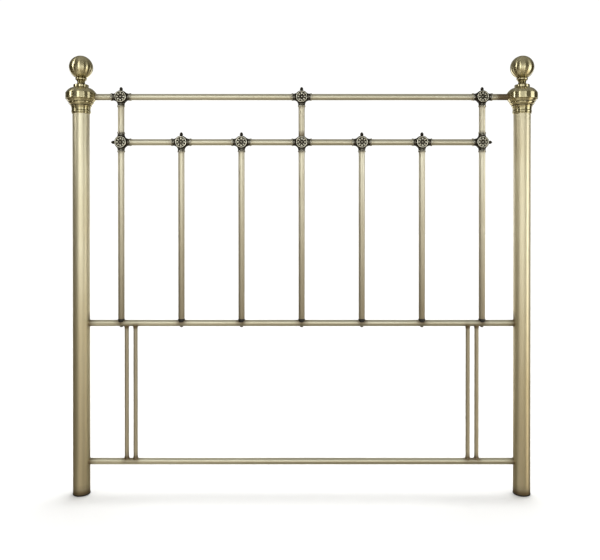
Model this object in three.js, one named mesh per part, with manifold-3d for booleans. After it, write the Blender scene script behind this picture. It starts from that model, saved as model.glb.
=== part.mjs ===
// Antique brass tube headboard for a double divan bed. Millimetres, +Z up, front faces -Y,
// origin on the floor midway between the two posts.
import * as THREE from "three";
import { mergeVertices } from "three/addons/utils/BufferGeometryUtils.js";
import Module from "manifold-3d";

// Clearance between two pieces that touch or grip each other.
const GAP = 0.3;

// Posts: 2 inch tube, one at each side.
const POST_X = 678;
const POST_R = 25.4;
const POST_WALL = 1.5;
const POST_SIDES = 24;

// Rails and spindles: 19 mm tube.
const TUBE_R = 9.5;
const TUBE_WALL = 1.2;
const TUBE_SIDES = 16;

// Slim bars of the two bolt slots: 12.7 mm tube.
const BAR_R = 6.35;
const BAR_WALL = 1;
const BAR_SIDES = 12;
const SLOT_X = 525;
const SLOT_HALF_PITCH = 13.5;

// Heights of the four rails.
const BOTTOM_RAIL_Z = 100;
const LOWER_RAIL_Z = 526;
const SECOND_RAIL_Z = 1082;
const TOP_RAIL_Z = 1221;

// Spindles stand at a regular pitch. The top rail is tied to the second at three of them.
const SPINDLE_PITCH = 185;
const SPINDLE_X = [-3, -2, -1, 0, 1, 2, 3].map((step) => step * SPINDLE_PITCH);
const SHORT_SPINDLE_X = { left: SPINDLE_X[0], centre: 0, right: SPINDLE_X[6] };
const SPINDLE_STOP = 10.2; // a spindle's end, measured from the axis of the rail it meets

// Junction castings.
const HUB_R = 20;
const HUB_SIDES = 16;
const ARM_SIDES = 12;
const ARM_R = 10.8;
const ARM_RING_R = 12.2;
const ARM_RING_START = 26.5;
const ARM_END = 31;
const SOCKET_END = 8; // sockets of the upright arms run in this far from the hub's centre
const BLIND_END = 11; // an end casting's rail socket stops this far past the hub's centre

// Finials, collars and the M10 screw that joins them.
const BALL_R = 35.5;
const BALL_INNER_R = 33.5;
const BALL_Z = 91; // above the top rail
const STUD_R = 5;
const STUD_SIDES = 32;
const STUD_FIT = 0.05;
const FLANGE_Z = 28.4; // finial's underside, above the top rail
const COLLAR_TOP = 26.4;
const COLLAR_CEILING = 21;
const COLLAR_LEDGE = -22;
const COLLAR_FOOT = -52.3;
const RAIL_IN_COLLAR = 24; // the top rail's end, from the post's axis

// Plugs and screws at the spindles' feet.
const PLUG_R = 10.6;
const PLUG_SHOULDER = 12.6; // above the lower rail's axis
const SCREW_R = 3;

const wasm = await Module();
wasm.setup();

// --- Solids ------------------------------------------------------------------------------

function manifold(positions, triangles) {
  return new wasm.Manifold(
    new wasm.Mesh({ numProp: 3, vertProperties: positions, triVerts: triangles }),
  );
}

// A closed geometry as a solid, with the faces of no area at a lathe's poles left out.
function solid(geometry) {
  const bare = new THREE.BufferGeometry();
  bare.setAttribute("position", geometry.getAttribute("position"));
  bare.setIndex(geometry.index);
  const merged = mergeVertices(bare, 1e-4);
  const index = merged.index.array;
  const kept = [];
  for (let i = 0; i < index.length; i += 3) {
    const [a, b, c] = index.slice(i, i + 3);
    if (a !== b && b !== c && c !== a) kept.push(a, b, c);
  }
  const positions = new Float32Array(merged.getAttribute("position").array);
  const made = manifold(positions, new Uint32Array(kept));
  return made.volume() > 0 ? made : manifold(positions, new Uint32Array(kept.reverse()));
}

function geometryOf(made) {
  const mesh = made.getMesh();
  const geometry = new THREE.BufferGeometry();
  geometry.setAttribute("position", new THREE.BufferAttribute(mesh.vertProperties, 3));
  geometry.setIndex(new THREE.BufferAttribute(mesh.triVerts, 1));
  geometry.computeVertexNormals();
  return geometry;
}

// A profile of [radius, height] turned round +Z.
function turned(profile, sides) {
  const points = profile.map(([r, z]) => new THREE.Vector2(r, z));
  return solid(new THREE.LatheGeometry(points, sides).rotateX(Math.PI / 2));
}

function rod(radius, from, to, sides = TUBE_SIDES) {
  return turned([[0, from], [radius, from], [radius, to], [0, to]], sides);
}

function tube(outer, wall, from, to, sides = TUBE_SIDES) {
  const inner = outer - wall;
  const ring = [[inner, from], [outer, from], [outer, to], [inner, to], [inner, from]];
  return turned(ring, sides);
}

const alongX = (made) => made.rotate([0, 90, 0]);
const union = (parts) => wasm.Manifold.union(parts);

// --- Materials and the group -------------------------------------------------------------

const COLOURS = {
  tube: 0xcdbf99,
  brass: 0xb09a62,
  casting: 0x6b6455,
  screw: 0x5d564a,
  plastic: 0x151412,
  zinc: 0x9fa0a0,
};
const METAL = { metalness: 0.9, roughness: 0.35 };
const PLASTIC = { metalness: 0, roughness: 0.6 };

const headboard = new THREE.Group();
headboard.name = "headboard";

function add(name, colour, made) {
  const surface = colour === "plastic" ? PLASTIC : METAL;
  const material = new THREE.MeshStandardMaterial({ color: COLOURS[colour], ...surface });
  const mesh = new THREE.Mesh(geometryOf(made), material);
  mesh.name = name;
  headboard.add(mesh);
}

// --- Posts with their feet, collars and finials ------------------------------------------

const CAP_THICKNESS = 4;
const CAP_PROFILE = [
  [0, 0], [24, 0], [25.6, 0.8], [26.2, 2.2], [26.2, CAP_THICKNESS],
  [23.3, CAP_THICKNESS], [23.3, 22], [21, 22], [21, 6], [0, 6],
];

const COLLAR_OUTSIDE = [
  [28.4, COLLAR_TOP], [34.6, 22.8], [39.6, 17.4], [43.8, 13.6], [46, 10], [46, -5.5],
  [44.2, -8.6], [41, -13.8], [38.4, -16.4], [37.2, -18.6], [33.2, -24.4], [31, -27.6],
  [28.6, -33.5], [27.9, -40], [28.5, -45.5], [27.8, -49.5], [26.8, COLLAR_FOOT],
];
const COLLAR_INSIDE = [
  [POST_R + GAP, COLLAR_FOOT], [POST_R + GAP, COLLAR_LEDGE], [21, COLLAR_LEDGE],
  [21, 17], [17, COLLAR_CEILING], [STUD_R + 2 * GAP, COLLAR_CEILING],
  [STUD_R + 2 * GAP, COLLAR_TOP], COLLAR_OUTSIDE[0],
];

// Points of a half circle's arc on the ball's axis, between two angles up from level.
function arc(radius, from, to, steps) {
  return Array.from({ length: steps + 1 }, (_, i) => {
    const angle = THREE.MathUtils.degToRad(from + ((to - from) * i) / steps);
    return [Math.max(radius * Math.cos(angle), 0), BALL_Z + radius * Math.sin(angle)];
  });
}

const FINIAL_PROFILE = [
  [STUD_R + GAP, BALL_Z - 33], [STUD_R + GAP, FLANGE_Z], [22, FLANGE_Z], [22.8, 29.4],
  [22.8, 36.2], [21.6, 37.2], [15, 38.2], [12.4, 41], [11.4, 44.8], [11.9, 48],
  [13.4, 51], [16, 52.2], [17.1, 54.6], [16.8, 57.4],
  ...arc(BALL_R, -59, 90, 9),
  ...arc(BALL_INNER_R, 90, -75, 5),
  [STUD_R + GAP, BALL_Z - 33],
];

const SIDES = { left: -1, right: 1 };
for (const [side, sign] of Object.entries(SIDES)) {
  const place = (made, z = TOP_RAIL_Z) => made.translate([sign * POST_X, 0, z]);

  const post = tube(POST_R, POST_WALL, CAP_THICKNESS + GAP, TOP_RAIL_Z + COLLAR_LEDGE - GAP,
    POST_SIDES);
  add(`post_${side}`, "tube", place(post, 0));
  add(`foot_cap_${side}`, "plastic", place(turned(CAP_PROFILE, POST_SIDES), 0));

  const railSocket = alongX(rod(TUBE_R + GAP, 15, 60));
  const collar = turned([...COLLAR_OUTSIDE, ...COLLAR_INSIDE], POST_SIDES);
  const turnedInward = sign > 0 ? railSocket.rotate([0, 0, 180]) : railSocket;
  add(`collar_${side}`, "brass", place(collar.subtract(turnedInward)));

  const nut = rod(9.8, 12.7, COLLAR_CEILING - GAP, 6)
    .subtract(rod(STUD_R + STUD_FIT, 0, 30, STUD_SIDES));
  add(`finial_nut_${side}`, "zinc", place(nut));

  const washer = tube(21.4, 21.4 - STUD_R - GAP, COLLAR_TOP + 0.2, FLANGE_Z - 0.2, 16);
  add(`finial_washer_${side}`, "plastic", place(washer));
  add(`finial_${side}`, "brass", place(turned(FINIAL_PROFILE, 20)));
  add(`finial_stud_${side}`, "zinc", place(rod(STUD_R, 6.4, 50, STUD_SIDES)));
}

// --- Rails -------------------------------------------------------------------------------

const POSTS_OUTLINE = union(
  Object.values(SIDES).map((sign) =>
    rod(POST_R + GAP, 0, TOP_RAIL_Z, POST_SIDES).translate([sign * POST_X, 0, 0]),
  ),
);

function rail(halfLength, z) {
  return alongX(tube(TUBE_R, TUBE_WALL, -halfLength, halfLength)).translate([0, 0, z]);
}

const SCREW_HOLES = union(
  SPINDLE_X.map((x) => rod(SCREW_R + GAP, -20, 20, 12).translate([x, 0, LOWER_RAIL_Z])),
);

add("top_rail", "tube", rail(POST_X - RAIL_IN_COLLAR, TOP_RAIL_Z));
add("second_rail", "tube", rail(SPINDLE_X[6] + BLIND_END - 2, SECOND_RAIL_Z));
add("lower_rail", "tube",
  rail(POST_X - 10, LOWER_RAIL_Z).subtract(POSTS_OUTLINE).subtract(SCREW_HOLES));
add("bottom_rail", "tube", rail(POST_X - 10, BOTTOM_RAIL_Z).subtract(POSTS_OUTLINE));

// --- Spindles ----------------------------------------------------------------------------

for (const [place, x] of Object.entries(SHORT_SPINDLE_X)) {
  const short = tube(TUBE_R, TUBE_WALL, SECOND_RAIL_Z + SPINDLE_STOP, TOP_RAIL_Z - SPINDLE_STOP);
  add(`short_spindle_${place}`, "tube", short.translate([x, 0, 0]));
}

const LOWER_RAIL_OUTLINE = alongX(rod(TUBE_R + GAP, -POST_X, POST_X));
const PLUG_PROFILE = [
  [SCREW_R + GAP, 3.5], [PLUG_R, 3.5], [PLUG_R, PLUG_SHOULDER], [8, PLUG_SHOULDER],
  [8, 28], [SCREW_R + GAP, 28], [SCREW_R + GAP, 3.5],
];
const SCREW_PROFILE = [
  [0, -13], [3.2, -12.8], [4.8, -11.4], [4.8, -9.8], [SCREW_R, -9.8], [SCREW_R, 27], [0, 27],
];

SPINDLE_X.forEach((x, i) => {
  const number = i + 1;
  const foot = LOWER_RAIL_Z + PLUG_SHOULDER + GAP;
  const spindle = tube(TUBE_R, TUBE_WALL, foot, SECOND_RAIL_Z - SPINDLE_STOP);
  add(`spindle_${number}`, "tube", spindle.translate([x, 0, 0]));
  const plug = turned(PLUG_PROFILE, 12).subtract(LOWER_RAIL_OUTLINE);
  add(`spindle_plug_${number}`, "plastic", plug.translate([x, 0, LOWER_RAIL_Z]));
  const screw = turned(SCREW_PROFILE, 8);
  add(`spindle_screw_${number}`, "screw", screw.translate([x, 0, LOWER_RAIL_Z]));
});

// --- Slim bars of the bolt slots ---------------------------------------------------------

// Each bar spreads at its ends, where it is welded over the rails.
const BAR_PROFILE = [
  [BAR_R - BAR_WALL, BOTTOM_RAIL_Z], [8.3, BOTTOM_RAIL_Z], [8.3, BOTTOM_RAIL_Z + 9],
  [7, BOTTOM_RAIL_Z + 13], [BAR_R, BOTTOM_RAIL_Z + 20], [BAR_R, LOWER_RAIL_Z - 19],
  [7.3, LOWER_RAIL_Z - 11], [7.6, LOWER_RAIL_Z - 8], [7.6, LOWER_RAIL_Z],
  [BAR_R - BAR_WALL, LOWER_RAIL_Z], [BAR_R - BAR_WALL, BOTTOM_RAIL_Z],
];
const SLOT_RAILS = union(
  [BOTTOM_RAIL_Z, LOWER_RAIL_Z].map((z) => LOWER_RAIL_OUTLINE.translate([0, 0, z])),
);

for (const [side, sign] of Object.entries(SIDES)) {
  for (const [place, step] of [["inner", -1], ["outer", 1]]) {
    const x = sign * (SLOT_X + step * SLOT_HALF_PITCH);
    const bar = turned(BAR_PROFILE, BAR_SIDES).rotate([0, 0, 180 / BAR_SIDES]);
    add(`slot_bar_${side}_${place}`, "tube", bar.translate([x, 0, 0]).subtract(SLOT_RAILS));
  }
}

// --- Junction castings -------------------------------------------------------------------

// One face of the hub from its centre outwards: a field, a raised rim and the rounded edge.
const HUB_FACE = [[0, 11.2], [13.2, 11.2], [15, 13], [17.4, 12.4], [HUB_R, 7]];
const HUB_PROFILE = [
  ...HUB_FACE.map(([r, y]) => [r, -y]),
  ...HUB_FACE.map(([r, y]) => [r, y]).reverse(),
];
const BOSS_PROFILE = [[0, -13.4], [2.2, -13.4], [3.4, -10], [3.4, 10], [2.2, 13.4], [0, 13.4]];
const ARM_PROFILE = [
  [0, 0], [ARM_R, 0], [ARM_R, ARM_RING_START], [ARM_RING_R, ARM_RING_START + 0.6],
  [ARM_RING_R, ARM_END], [0, ARM_END],
];
const SPIKE_PROFILE = [[0, 14], [5.2, 14], [5.2, 20], [4.3, 25], [2.9, 29], [0, ARM_END]];

// Turns a solid that points up so that it points another way in the headboard's plane.
const DIRECTIONS = { up: 0, right: 90, down: 180, left: 270 };
const pointed = (made, way) => made.rotate([0, DIRECTIONS[way], 0]);

// arms: ways with a ringed arm. sockets: ways a tube enters by. through: the rail runs past
// the hub on both sides. spike: the way the small pointed knob faces, if there is one.
function casting({ arms, sockets, through, spike }) {
  const hub = turned(HUB_PROFILE, HUB_SIDES).rotate([90, 0, 0]);
  const boss = turned(BOSS_PROFILE, 8).rotate([90, 0, 0]);
  const solids = [hub, boss, ...arms.map((way) => pointed(turned(ARM_PROFILE, ARM_SIDES), way))];
  if (spike) solids.push(pointed(turned(SPIKE_PROFILE, 8), spike));
  const bores = sockets.map((way) => pointed(rod(TUBE_R + GAP, SOCKET_END, 40), way));
  const [from, to] = through ? [-40, 40] : [-BLIND_END, 40];
  const railWay = through || arms.includes("right") ? "right" : "left";
  bores.push(pointed(rod(TUBE_R + GAP, from, to), railWay));
  return union(solids).subtract(union(bores));
}

const TEE = { arms: ["left", "right", "down"], sockets: ["down"], through: true, spike: "up" };
const LEFT_END = { arms: ["up", "right", "down"], sockets: ["up", "down"], spike: "left" };
const RIGHT_END = { arms: ["up", "left", "down"], sockets: ["up", "down"], spike: "right" };
const CENTRE = { arms: ["left", "right", "down"], sockets: ["up", "down"], through: true };
const SECOND_ROW = [LEFT_END, TEE, TEE, CENTRE, TEE, TEE, RIGHT_END];

for (const [place, x] of Object.entries(SHORT_SPINDLE_X)) {
  add(`casting_top_${place}`, "casting", casting(TEE).translate([x, 0, TOP_RAIL_Z]));
}
SECOND_ROW.forEach((form, i) => {
  const made = casting(form).translate([SPINDLE_X[i], 0, SECOND_RAIL_Z]);
  add(`casting_${i + 1}`, "casting", made);
});

export default headboard;
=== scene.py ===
"""Looks of the antique brass tube headboard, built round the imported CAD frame.

Lengths of the object are millimetres in this script and become metres when a mesh is made.
The studio's panels, the floor and the camera are in metres throughout.
The front faces -Y, +Z is up and the floor is z = 0.
"""

import math

import bmesh
import bpy
import numpy as np
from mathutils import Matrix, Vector


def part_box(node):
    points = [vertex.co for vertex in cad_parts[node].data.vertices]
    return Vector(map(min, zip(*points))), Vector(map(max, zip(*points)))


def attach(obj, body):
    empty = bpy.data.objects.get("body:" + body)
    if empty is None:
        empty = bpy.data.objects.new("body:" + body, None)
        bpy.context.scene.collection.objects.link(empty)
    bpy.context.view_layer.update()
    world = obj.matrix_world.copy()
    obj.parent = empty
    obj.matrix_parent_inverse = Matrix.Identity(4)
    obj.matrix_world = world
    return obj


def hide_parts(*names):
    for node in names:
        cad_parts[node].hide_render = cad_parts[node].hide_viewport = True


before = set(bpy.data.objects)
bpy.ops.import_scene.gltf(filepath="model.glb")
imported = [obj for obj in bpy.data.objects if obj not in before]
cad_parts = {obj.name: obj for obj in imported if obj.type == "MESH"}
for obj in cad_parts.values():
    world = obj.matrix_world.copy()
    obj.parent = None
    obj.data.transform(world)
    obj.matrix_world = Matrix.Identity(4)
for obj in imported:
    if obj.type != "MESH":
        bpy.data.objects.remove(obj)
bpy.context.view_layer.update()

MM = 0.001
TAU = 2 * math.pi
TURNED_SEGMENTS = 112
TUBE_SEGMENTS = 64
BAR_SEGMENTS = 48
CREASE = math.radians(32)  # sharper edges than this are shaded as edges


# --- Where the CAD says each thing is ------------------------------------------------------


def span(node):
    """Lowest and highest corner of a CAD node, in millimetres."""
    low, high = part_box(node)
    return np.array(low) / MM, np.array(high) / MM


def middle(node):
    low, high = span(node)
    return (low + high) / 2


def at(x=0.0, z=0.0):
    """A place in the headboard's middle plane."""
    return np.array([x, 0, z])


SIDES = {"left": -1, "right": 1}
POST_X = abs(middle("post_right")[0])
POST_R = (span("post_right")[1][0] - span("post_right")[0][0]) / 2
POST_WALL = 1.5
TUBE_R = (span("top_rail")[1][2] - span("top_rail")[0][2]) / 2
TUBE_WALL = 1.2
BAR_R = 6.35
BAR_WALL = 1.0
RAILS = ("top_rail", "second_rail", "lower_rail", "bottom_rail")
RAIL_Z = {name: middle(name)[2] for name in RAILS}
TOP_Z, SECOND_Z, LOWER_Z, BOTTOM_Z = RAIL_Z.values()
SPINDLES = range(1, 8)
SPINDLE_X = [middle(f"spindle_{i}")[0] for i in SPINDLES]
SHORT_X = {place: middle(f"short_spindle_{place}")[0] for place in ("left", "centre", "right")}
BARS = [f"slot_bar_{side}_{place}" for side in SIDES for place in ("inner", "outer")]


# --- Meshes --------------------------------------------------------------------------------


def new_mesh(name, verts, faces, crease=CREASE):
    """A smooth-shaded mesh with consistent outward faces, from points in millimetres."""
    mesh = bpy.data.meshes.new(name)
    mesh.from_pydata([tuple(v) for v in np.asarray(verts, float) * MM], [], faces)
    return finish_mesh(mesh, crease)


def finish_mesh(mesh, crease=CREASE):
    """Faces turned outward and shaded smooth, but for edges sharper than the crease."""
    bm = bmesh.new()
    bm.from_mesh(mesh)
    bmesh.ops.recalc_face_normals(bm, faces=bm.faces)
    bm.to_mesh(mesh)
    bm.free()
    mesh.shade_smooth()
    mesh.set_sharp_from_angle(angle=crease)
    mesh.validate()
    return mesh


def turned(profile, segments=TURNED_SEGMENTS, centre=(0, 0, 0)):
    """Points and faces of a profile of (radius, height) turned round an upright axis.
    A profile that doesn't start and end on the axis is closed into a ring."""
    rings, verts, faces = [], [], []
    for r, z in profile:
        if r < 1e-6:
            rings.append([len(verts)] * segments)
            verts.append((0, 0, z))
        else:
            rings.append(list(range(len(verts), len(verts) + segments)))
            for k in range(segments):
                a = TAU * k / segments
                verts.append((r * math.cos(a), r * math.sin(a), z))
    pairs = list(zip(rings, rings[1:]))
    if profile[0][0] > 1e-6:
        pairs.append((rings[-1], rings[0]))
    for lower, upper in pairs:
        for k in range(segments):
            n = (k + 1) % segments
            face = list(dict.fromkeys([lower[k], lower[n], upper[n], upper[k]]))
            if len(face) > 2:
                faces.append(face)
    return np.array(verts, float) + np.array(centre, float), faces


def through(points, step=0.7):
    """A smooth (Catmull-Rom) line through the points, in short steps."""
    p = np.array(points, float)
    if len(p) < 3:
        count = max(int(np.linalg.norm(p[-1] - p[0]) / (3 * step)), 1)
        return [tuple(p[0] + (p[-1] - p[0]) * i / count) for i in range(count + 1)]
    ghost = np.vstack([2 * p[0] - p[1], p, 2 * p[-1] - p[-2]])
    line = []
    for i in range(len(p) - 1):
        a, b, c, d = ghost[i : i + 4]
        count = max(int(np.linalg.norm(c - b) / step), 1)
        for k in range(count):
            t = k / count
            line.append(tuple(
                0.5 * (2 * b + (c - a) * t + (2 * a - 5 * b + 4 * c - d) * t**2
                       + (3 * b - a - 3 * c + d) * t**3)))
    return line + [tuple(p[-1])]


def rounded(points, radius, steps=4):
    """The polyline with each inner corner rounded off to about that radius."""
    p = [np.array(q, float) for q in points]
    out = [tuple(p[0])]
    for a, b, c in zip(p, p[1:], p[2:]):
        to_a, to_c = a - b, c - b
        cut = min(radius, np.linalg.norm(to_a) * 0.45, np.linalg.norm(to_c) * 0.45)
        start = b + to_a / np.linalg.norm(to_a) * cut
        end = b + to_c / np.linalg.norm(to_c) * cut
        for k in range(steps + 1):
            t = k / steps
            out.append(tuple((1 - t) ** 2 * start + 2 * t * (1 - t) * b + t**2 * end))
    return out + [tuple(p[-1])]


def combine(*parts):
    """Several (points, faces) as one."""
    verts, faces, base = [], [], 0
    for v, f in parts:
        verts.append(np.asarray(v, float))
        faces += [[base + i for i in face] for face in f]
        base += len(v)
    return np.vstack(verts), faces


def turned_to(part, way):
    """A part that points up, turned in the headboard's plane to point another way."""
    v, f = part
    x, y, z = np.asarray(v, float).T
    return {
        "up": (np.stack([x, y, z], 1), f),
        "down": (np.stack([-x, y, -z], 1), f),
        "right": (np.stack([z, y, -x], 1), f),
        "left": (np.stack([-z, y, x], 1), f),
    }[way]


def pipe(outer, wall, stations, start, end, level, segments=TUBE_SEGMENTS):
    """A tube along X (level) or Z, whose two ends may be cut to fit round another tube.
    stations: (place along the tube, outer radius); the first and last give only a radius.
    start and end: where the wall ends, or a function that says so for a sideways offset y."""
    verts, faces, rings = [], [], []

    def ring(radius, place):
        rings.append(len(verts))
        for k in range(segments):
            a = TAU * k / segments
            side, y = radius * math.cos(a), radius * math.sin(a)
            along = place(y) if callable(place) else place
            verts.append((along, y, side) if level else (side, y, along))

    ring(outer - wall, start)
    ring(stations[0][1], start)
    for place, radius in stations[1:-1]:
        ring(radius, place)
    ring(stations[-1][1], end)
    ring(outer - wall, end)
    rings.append(rings[0])
    for a, b in zip(rings, rings[1:]):
        for k in range(segments):
            n = (k + 1) % segments
            faces.append([a + k, a + n, b + n, b + k])
    return np.array(verts, float), faces


BEAD_TURNS = [2, 3, 5, 9, 14]  # how often a bead swells round its path
BEAD_RIPPLES = 11


def bead(path, radius, seed, along=180, around=10, ripple=0.16):
    """A weld bead: a rope of metal laid along a closed path, rippled by the torch.
    path gives a point and the bead's outward and upward ways at an angle."""
    rng = np.random.default_rng(seed)
    phases = rng.uniform(0, TAU, len(BEAD_TURNS))
    sizes = rng.uniform(0.03, 0.08, len(BEAD_TURNS))
    verts, faces = [], []
    for i in range(along):
        a = TAU * i / along
        centre, out, up = path(a)
        swell = sum(s * math.sin(t * a + p) for s, t, p in zip(sizes, BEAD_TURNS, phases))
        r = radius * (1 + ripple * abs(math.sin(a * BEAD_RIPPLES)) - ripple / 2 + swell)
        for k in range(around):
            b = TAU * k / around
            verts.append(centre + r * (math.cos(b) * out + math.sin(b) * up))
    for i in range(along):
        for k in range(around):
            j, n = (i + 1) % along, (k + 1) % around
            faces.append([i * around + k, i * around + n, j * around + n, j * around + k])
    return np.array(verts), faces


def loose(name, mesh):
    """An object in the scene."""
    made = bpy.data.objects.new(name, mesh)
    bpy.context.scene.collection.objects.link(made)
    return made


def result(body):
    """The mesh that an object's modifiers make."""
    graph = bpy.context.evaluated_depsgraph_get()
    return bpy.data.meshes.new_from_object(body.evaluated_get(graph), depsgraph=graph)


def cut(mesh, verts, faces):
    """The mesh with another closed mesh taken away from it."""
    body = loose("cut_body", mesh)
    tool = loose("cut_tool", new_mesh("cut_tool", verts, faces))
    modifier = body.modifiers.new("cut", "BOOLEAN")
    modifier.operation = "DIFFERENCE"
    modifier.solver = "EXACT"
    modifier.object = tool
    made = result(body)
    bpy.data.objects.remove(body)
    bpy.data.objects.remove(tool)
    return finish_mesh(made)


def fused(name, parts, voxel, smooth):
    """Closed parts melted into one skin, as one casting is, with soft inner corners."""
    verts, faces = combine(*parts)
    mesh = bpy.data.meshes.new(name)
    mesh.from_pydata([tuple(v) for v in verts * MM], [], faces)
    body = loose("fused", mesh)
    remesh = body.modifiers.new("remesh", "REMESH")
    remesh.mode = "VOXEL"
    remesh.voxel_size = voxel * MM
    soften = body.modifiers.new("soften", "SMOOTH")
    soften.factor = 0.5
    soften.iterations = smooth
    made = result(body)
    bpy.data.objects.remove(body)
    return made


def read(mesh, what):
    """Every vertex's place in millimetres ("co") or its direction ("normal")."""
    values = np.zeros(len(mesh.vertices) * 3)
    mesh.vertices.foreach_get(what, values)
    return values.reshape(-1, 3) / (MM if what == "co" else 1)


def write(mesh, name, values):
    """Keeps a number for every vertex, for a material to read."""
    attribute = mesh.attributes.new(name, "FLOAT", "POINT")
    attribute.data.foreach_set("value", values.astype(np.float32))


def mark_hollows(mesh, passes=12, depth=0.25):
    """Writes "hollow": above 0 in grooves and pits, below 0 on worn edges. It compares the
    skin with itself smoothed over a number of passes; a difference of depth counts as 1."""
    count = len(mesh.vertices)
    co, normal = read(mesh, "co"), read(mesh, "normal")
    ends = np.zeros(len(mesh.edges) * 2, np.int32)
    mesh.edges.foreach_get("vertices", ends)
    a, b = ends.reshape(-1, 2).T
    degree = np.bincount(np.concatenate([a, b]), minlength=count)[:, None]
    p = co.copy()
    for _ in range(passes):
        total = np.stack([
            np.bincount(a, p[b, i], count) + np.bincount(b, p[a, i], count) for i in range(3)
        ], 1)
        p = 0.4 * p + 0.6 * total / np.maximum(degree, 1)
    write(mesh, "hollow", np.clip(((p - co) * normal).sum(1) / depth, -1, 1))


def mark_relief(mesh, low=11.5, high=12.7):
    """Writes "relief": 1 on what stands proudest of the headboard's plane, which the
    polishing cloth reaches first."""
    proud = (np.abs(read(mesh, "co")[:, 1]) - low) / (high - low)
    write(mesh, "relief", np.clip(proud, 0, 1))


HUB_EDGE = (17.0, 21.4)  # from the hub's axis
SPIKE_START = 20
PAINTED_EDGE_SHADE, BLACK_SPIKE = 0.2, 0.17  # as deep a "hollow" as looks black; at the hub's edge it is painted shade round the hub's side


def paint_edge_shade_and_black_spike(mesh, spike):
    """Paints a black ring of painted shade round the hub's outer edge, and keeps the spike black.
    """
    co = read(mesh, "co")
    away = np.hypot(co[:, 0], co[:, 2])
    start, end = HUB_EDGE
    least = PAINTED_EDGE_SHADE * np.clip((away - start) / 0.7, 0, 1) * np.clip((end - away) / 0.8, 0, 1)
    if spike:
        out = {"up": co[:, 2], "left": -co[:, 0], "right": co[:, 0]}[spike]
        least = np.where(out > SPIKE_START, BLACK_SPIKE, least)
    values = mesh.attributes["hollow"].data
    hollow = np.zeros(len(co), np.float32)
    values.foreach_get("value", hollow)
    hollow = np.where(least > 0, np.maximum(hollow, least), hollow)
    values.foreach_set("value", hollow.astype(np.float32))


JOINS = []  # (centre, reach): where two pieces meet, and painted shade with some soil darkens the tubes
SHADE_AND_SOIL_FADES_OVER = 5
HEAD_REACHED_AT = 1 / 1.1  # of an upright's height


def mark_shade_and_soil(mesh, foot=0.0, head=0.0, more=()):
    """Writes painted shade mixed with soil: 1 against a join, falling to 0 a few millimetres away.
    An upright may also carry painted shade all along, from foot to head."""
    co = read(mesh, "co")
    rise = (co[:, 2] - co[:, 2].min()) / max(np.ptp(co[:, 2]), 1e-6)
    shade_and_soil = foot + (head - foot) * np.minimum(rise / HEAD_REACHED_AT, 1)
    for centre, reach in [*JOINS, *more]:
        gap = np.linalg.norm(co - centre, axis=1) - reach
        shade_and_soil = np.maximum(shade_and_soil, np.exp(-np.maximum(gap, 0) / SHADE_AND_SOIL_FADES_OVER))
    write(mesh, "shade_and_soil", shade_and_soil)


# --- Materials -----------------------------------------------------------------------------


class Nodes:
    """A few short calls for building a node tree."""

    def __init__(self, name):
        self.material = bpy.data.materials.new(name)
        self.material.use_nodes = True
        self.tree = self.material.node_tree
        self.shader = self.tree.nodes["Principled BSDF"]

    def node(self, kind, **settings):
        made = self.tree.nodes.new(kind)
        for key, value in settings.items():
            setattr(made, key, value)
        return made

    def link(self, source, target):
        self.tree.links.new(source, target)

    def place(self, scale):
        """The object's own coordinates, stretched."""
        coordinates = self.node("ShaderNodeTexCoord")
        mapping = self.node("ShaderNodeMapping")
        mapping.inputs["Scale"].default_value = scale
        self.link(coordinates.outputs["Object"], mapping.inputs["Vector"])
        return mapping.outputs["Vector"]

    def noise(self, scale, detail=3.0, roughness=0.55, stretch=(1, 1, 1), offset=None):
        """Noise, which an offset moves on to another part of its pattern."""
        noise = self.node("ShaderNodeTexNoise")
        if offset is not None:
            noise.noise_dimensions = "4D"
            self.link(offset, noise.inputs["W"])
        noise.inputs["Scale"].default_value = scale
        noise.inputs["Detail"].default_value = detail
        noise.inputs["Roughness"].default_value = roughness
        self.link(self.place(stretch), noise.inputs["Vector"])
        return noise.outputs["Fac"]

    def ranged(self, source, from_low, from_high, to_low, to_high):
        ranged = self.node("ShaderNodeMapRange")
        for key, value in (("From Min", from_low), ("From Max", from_high),
                           ("To Min", to_low), ("To Max", to_high)):
            ranged.inputs[key].default_value = value
        self.link(source, ranged.inputs["Value"])
        return ranged.outputs["Result"]

    def maths(self, operation, a, b):
        made = self.node("ShaderNodeMath", operation=operation)
        for socket, value in zip(made.inputs, (a, b)):
            if isinstance(value, (int, float)):
                socket.default_value = value
            else:
                self.link(value, socket)
        return made.outputs[0]

    def mix(self, factor, a, b):
        made = self.node("ShaderNodeMix", data_type="RGBA")
        self.link(factor, made.inputs["Factor"])
        for socket, value in ((made.inputs[6], a), (made.inputs[7], b)):
            if isinstance(value, tuple):
                socket.default_value = (*value, 1)
            else:
                self.link(value, socket)
        return made.outputs[2]

    def attribute(self, name):
        return self.node("ShaderNodeAttribute", attribute_name=name).outputs["Fac"]

    def along_axis(self, axis, amount):
        """Stretches highlights along a turned or drawn part's axis."""
        tangent = self.node("ShaderNodeTangent", direction_type="RADIAL", axis=axis)
        self.link(tangent.outputs["Tangent"], self.shader.inputs["Tangent"])
        self.shader.inputs["Anisotropic"].default_value = amount
        self.shader.inputs["Anisotropic Rotation"].default_value = 0.25

    def skin(self, base, rough, height, strength, distance):
        """Links the colour, the roughness and a bump whose height is in millimetres."""
        bump = self.node("ShaderNodeBump")
        bump.inputs["Strength"].default_value = strength
        bump.inputs["Distance"].default_value = distance * MM
        self.link(height, bump.inputs["Height"])
        self.link(base, self.shader.inputs["Base Color"])
        self.link(rough, self.shader.inputs["Roughness"])
        self.link(bump.outputs["Normal"], self.shader.inputs["Normal"])

    def metal(self, coat=0.0, coat_roughness=0.03):
        """Makes it metal, under a lacquer if coat is above 0."""
        self.shader.inputs["Metallic"].default_value = 1.0
        self.shader.inputs["Coat Weight"].default_value = coat
        self.shader.inputs["Coat Roughness"].default_value = coat_roughness
        return self.material


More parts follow.
